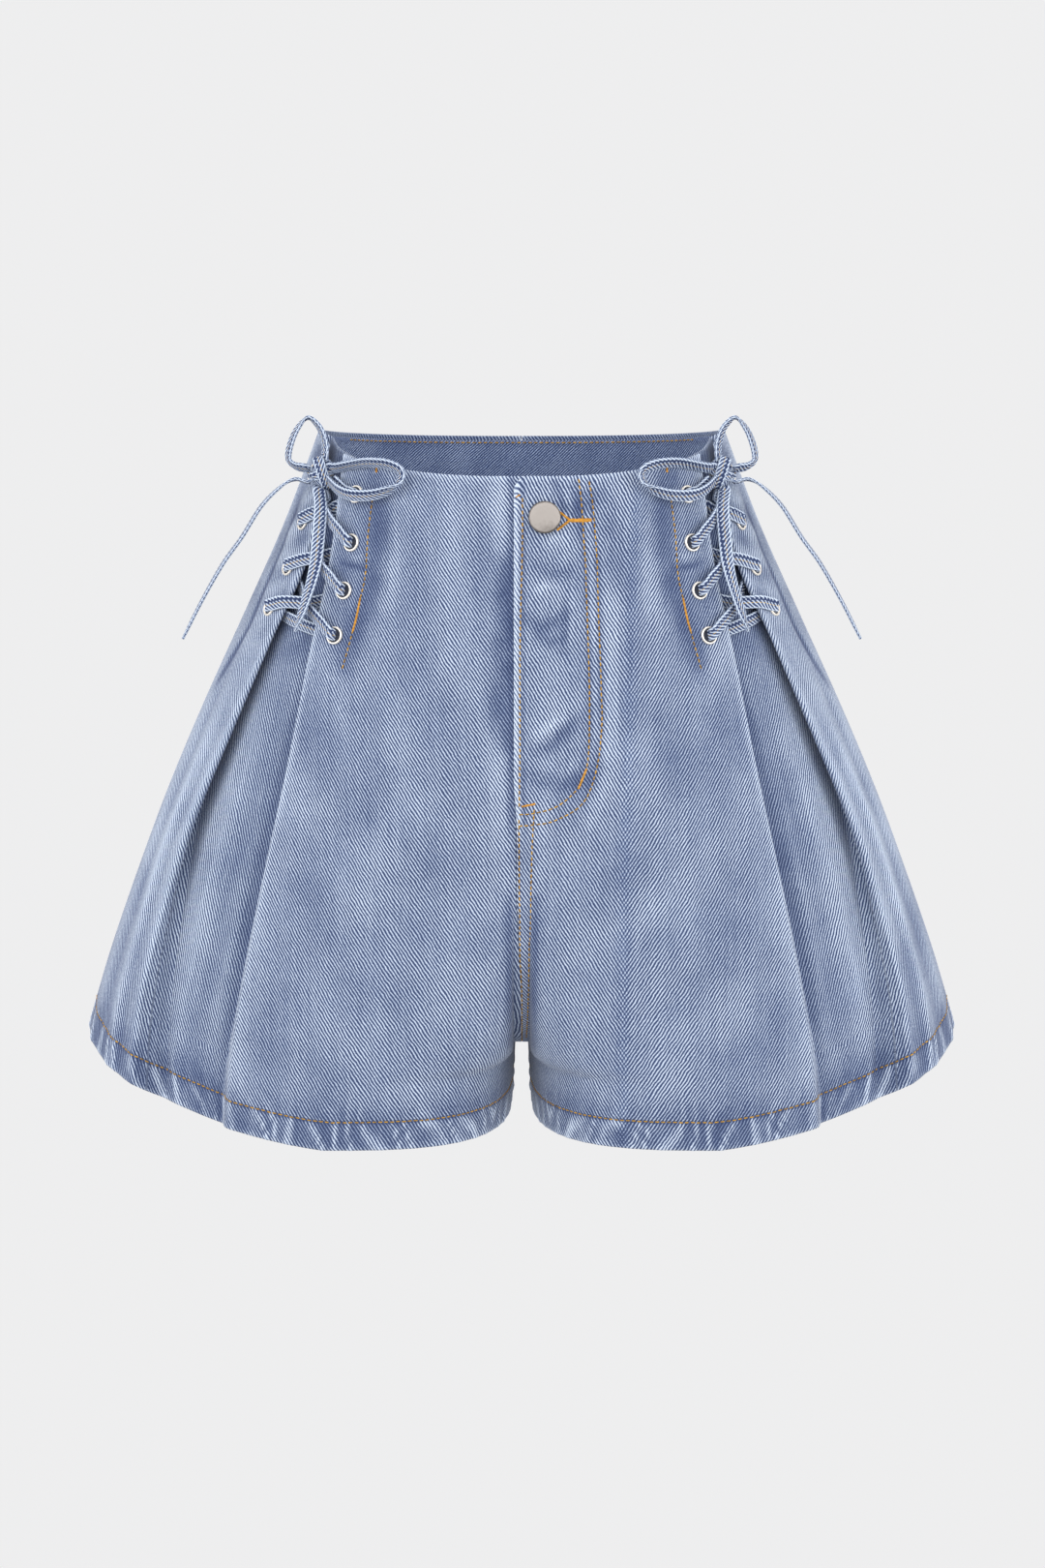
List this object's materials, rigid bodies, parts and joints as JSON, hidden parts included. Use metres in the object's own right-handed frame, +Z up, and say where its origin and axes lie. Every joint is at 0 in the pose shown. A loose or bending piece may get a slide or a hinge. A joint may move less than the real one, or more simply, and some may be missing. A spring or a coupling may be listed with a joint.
{
  "type": "denim shorts",
  "caption": "High-waisted wide-leg denim shorts with a buttoned fly and laced pleats at both sides, filled out and hollow with no wearer.",
  "frame": {"origin": "middle of the waist opening, at the height where the wearer's waist holds the shorts", "axes": "+Z up, +X to the viewer's right from the front (the wearer's left), +Y to the back"},
  "size_m": [0.507, 0.225, 0.4036],
  "materials": {
    "denim": "light-wash twill, matt, with worn pale edges",
    "denim_inside": "darker blue twill facing, matt",
    "lace": "folded denim tape, stitched along its middle",
    "button_metal": "matt warm grey, tumbled",
    "eyelet_metal": "pale polished, slightly golden"
  },
  "bodies": {
    "root": {"front_right": "denim", "front_left": "denim", "back_right": "denim", "back_left": "denim", "fly_shield": "denim", "back_facing": "denim_inside", "button": "button_metal", "eyelet_right_front_1": "eyelet_metal", "eyelet_right_front_2": "eyelet_metal", "eyelet_right_front_3": "eyelet_metal", "eyelet_right_front_4": "eyelet_metal", "eyelet_right_rear_1": "eyelet_metal", "eyelet_right_rear_2": "eyelet_metal", "eyelet_right_rear_3": "eyelet_metal", "eyelet_right_rear_4": "eyelet_metal", "eyelet_left_front_1": "eyelet_metal", "eyelet_left_front_2": "eyelet_metal", "eyelet_left_front_3": "eyelet_metal", "eyelet_left_front_4": "eyelet_metal", "eyelet_left_rear_1": "eyelet_metal", "eyelet_left_rear_2": "eyelet_metal", "eyelet_left_rear_3": "eyelet_metal", "eyelet_left_rear_4": "eyelet_metal", "lace_right": "lace", "knot_right": "lace", "bow_up_right": "lace", "bow_side_right": "lace", "tail_long_right": "lace", "tail_short_right": "lace", "lace_left": "lace", "knot_left": "lace", "bow_up_left": "lace", "bow_side_left": "lace", "tail_long_left": "lace", "tail_short_left": "lace"}
  },
  "joints": []
}
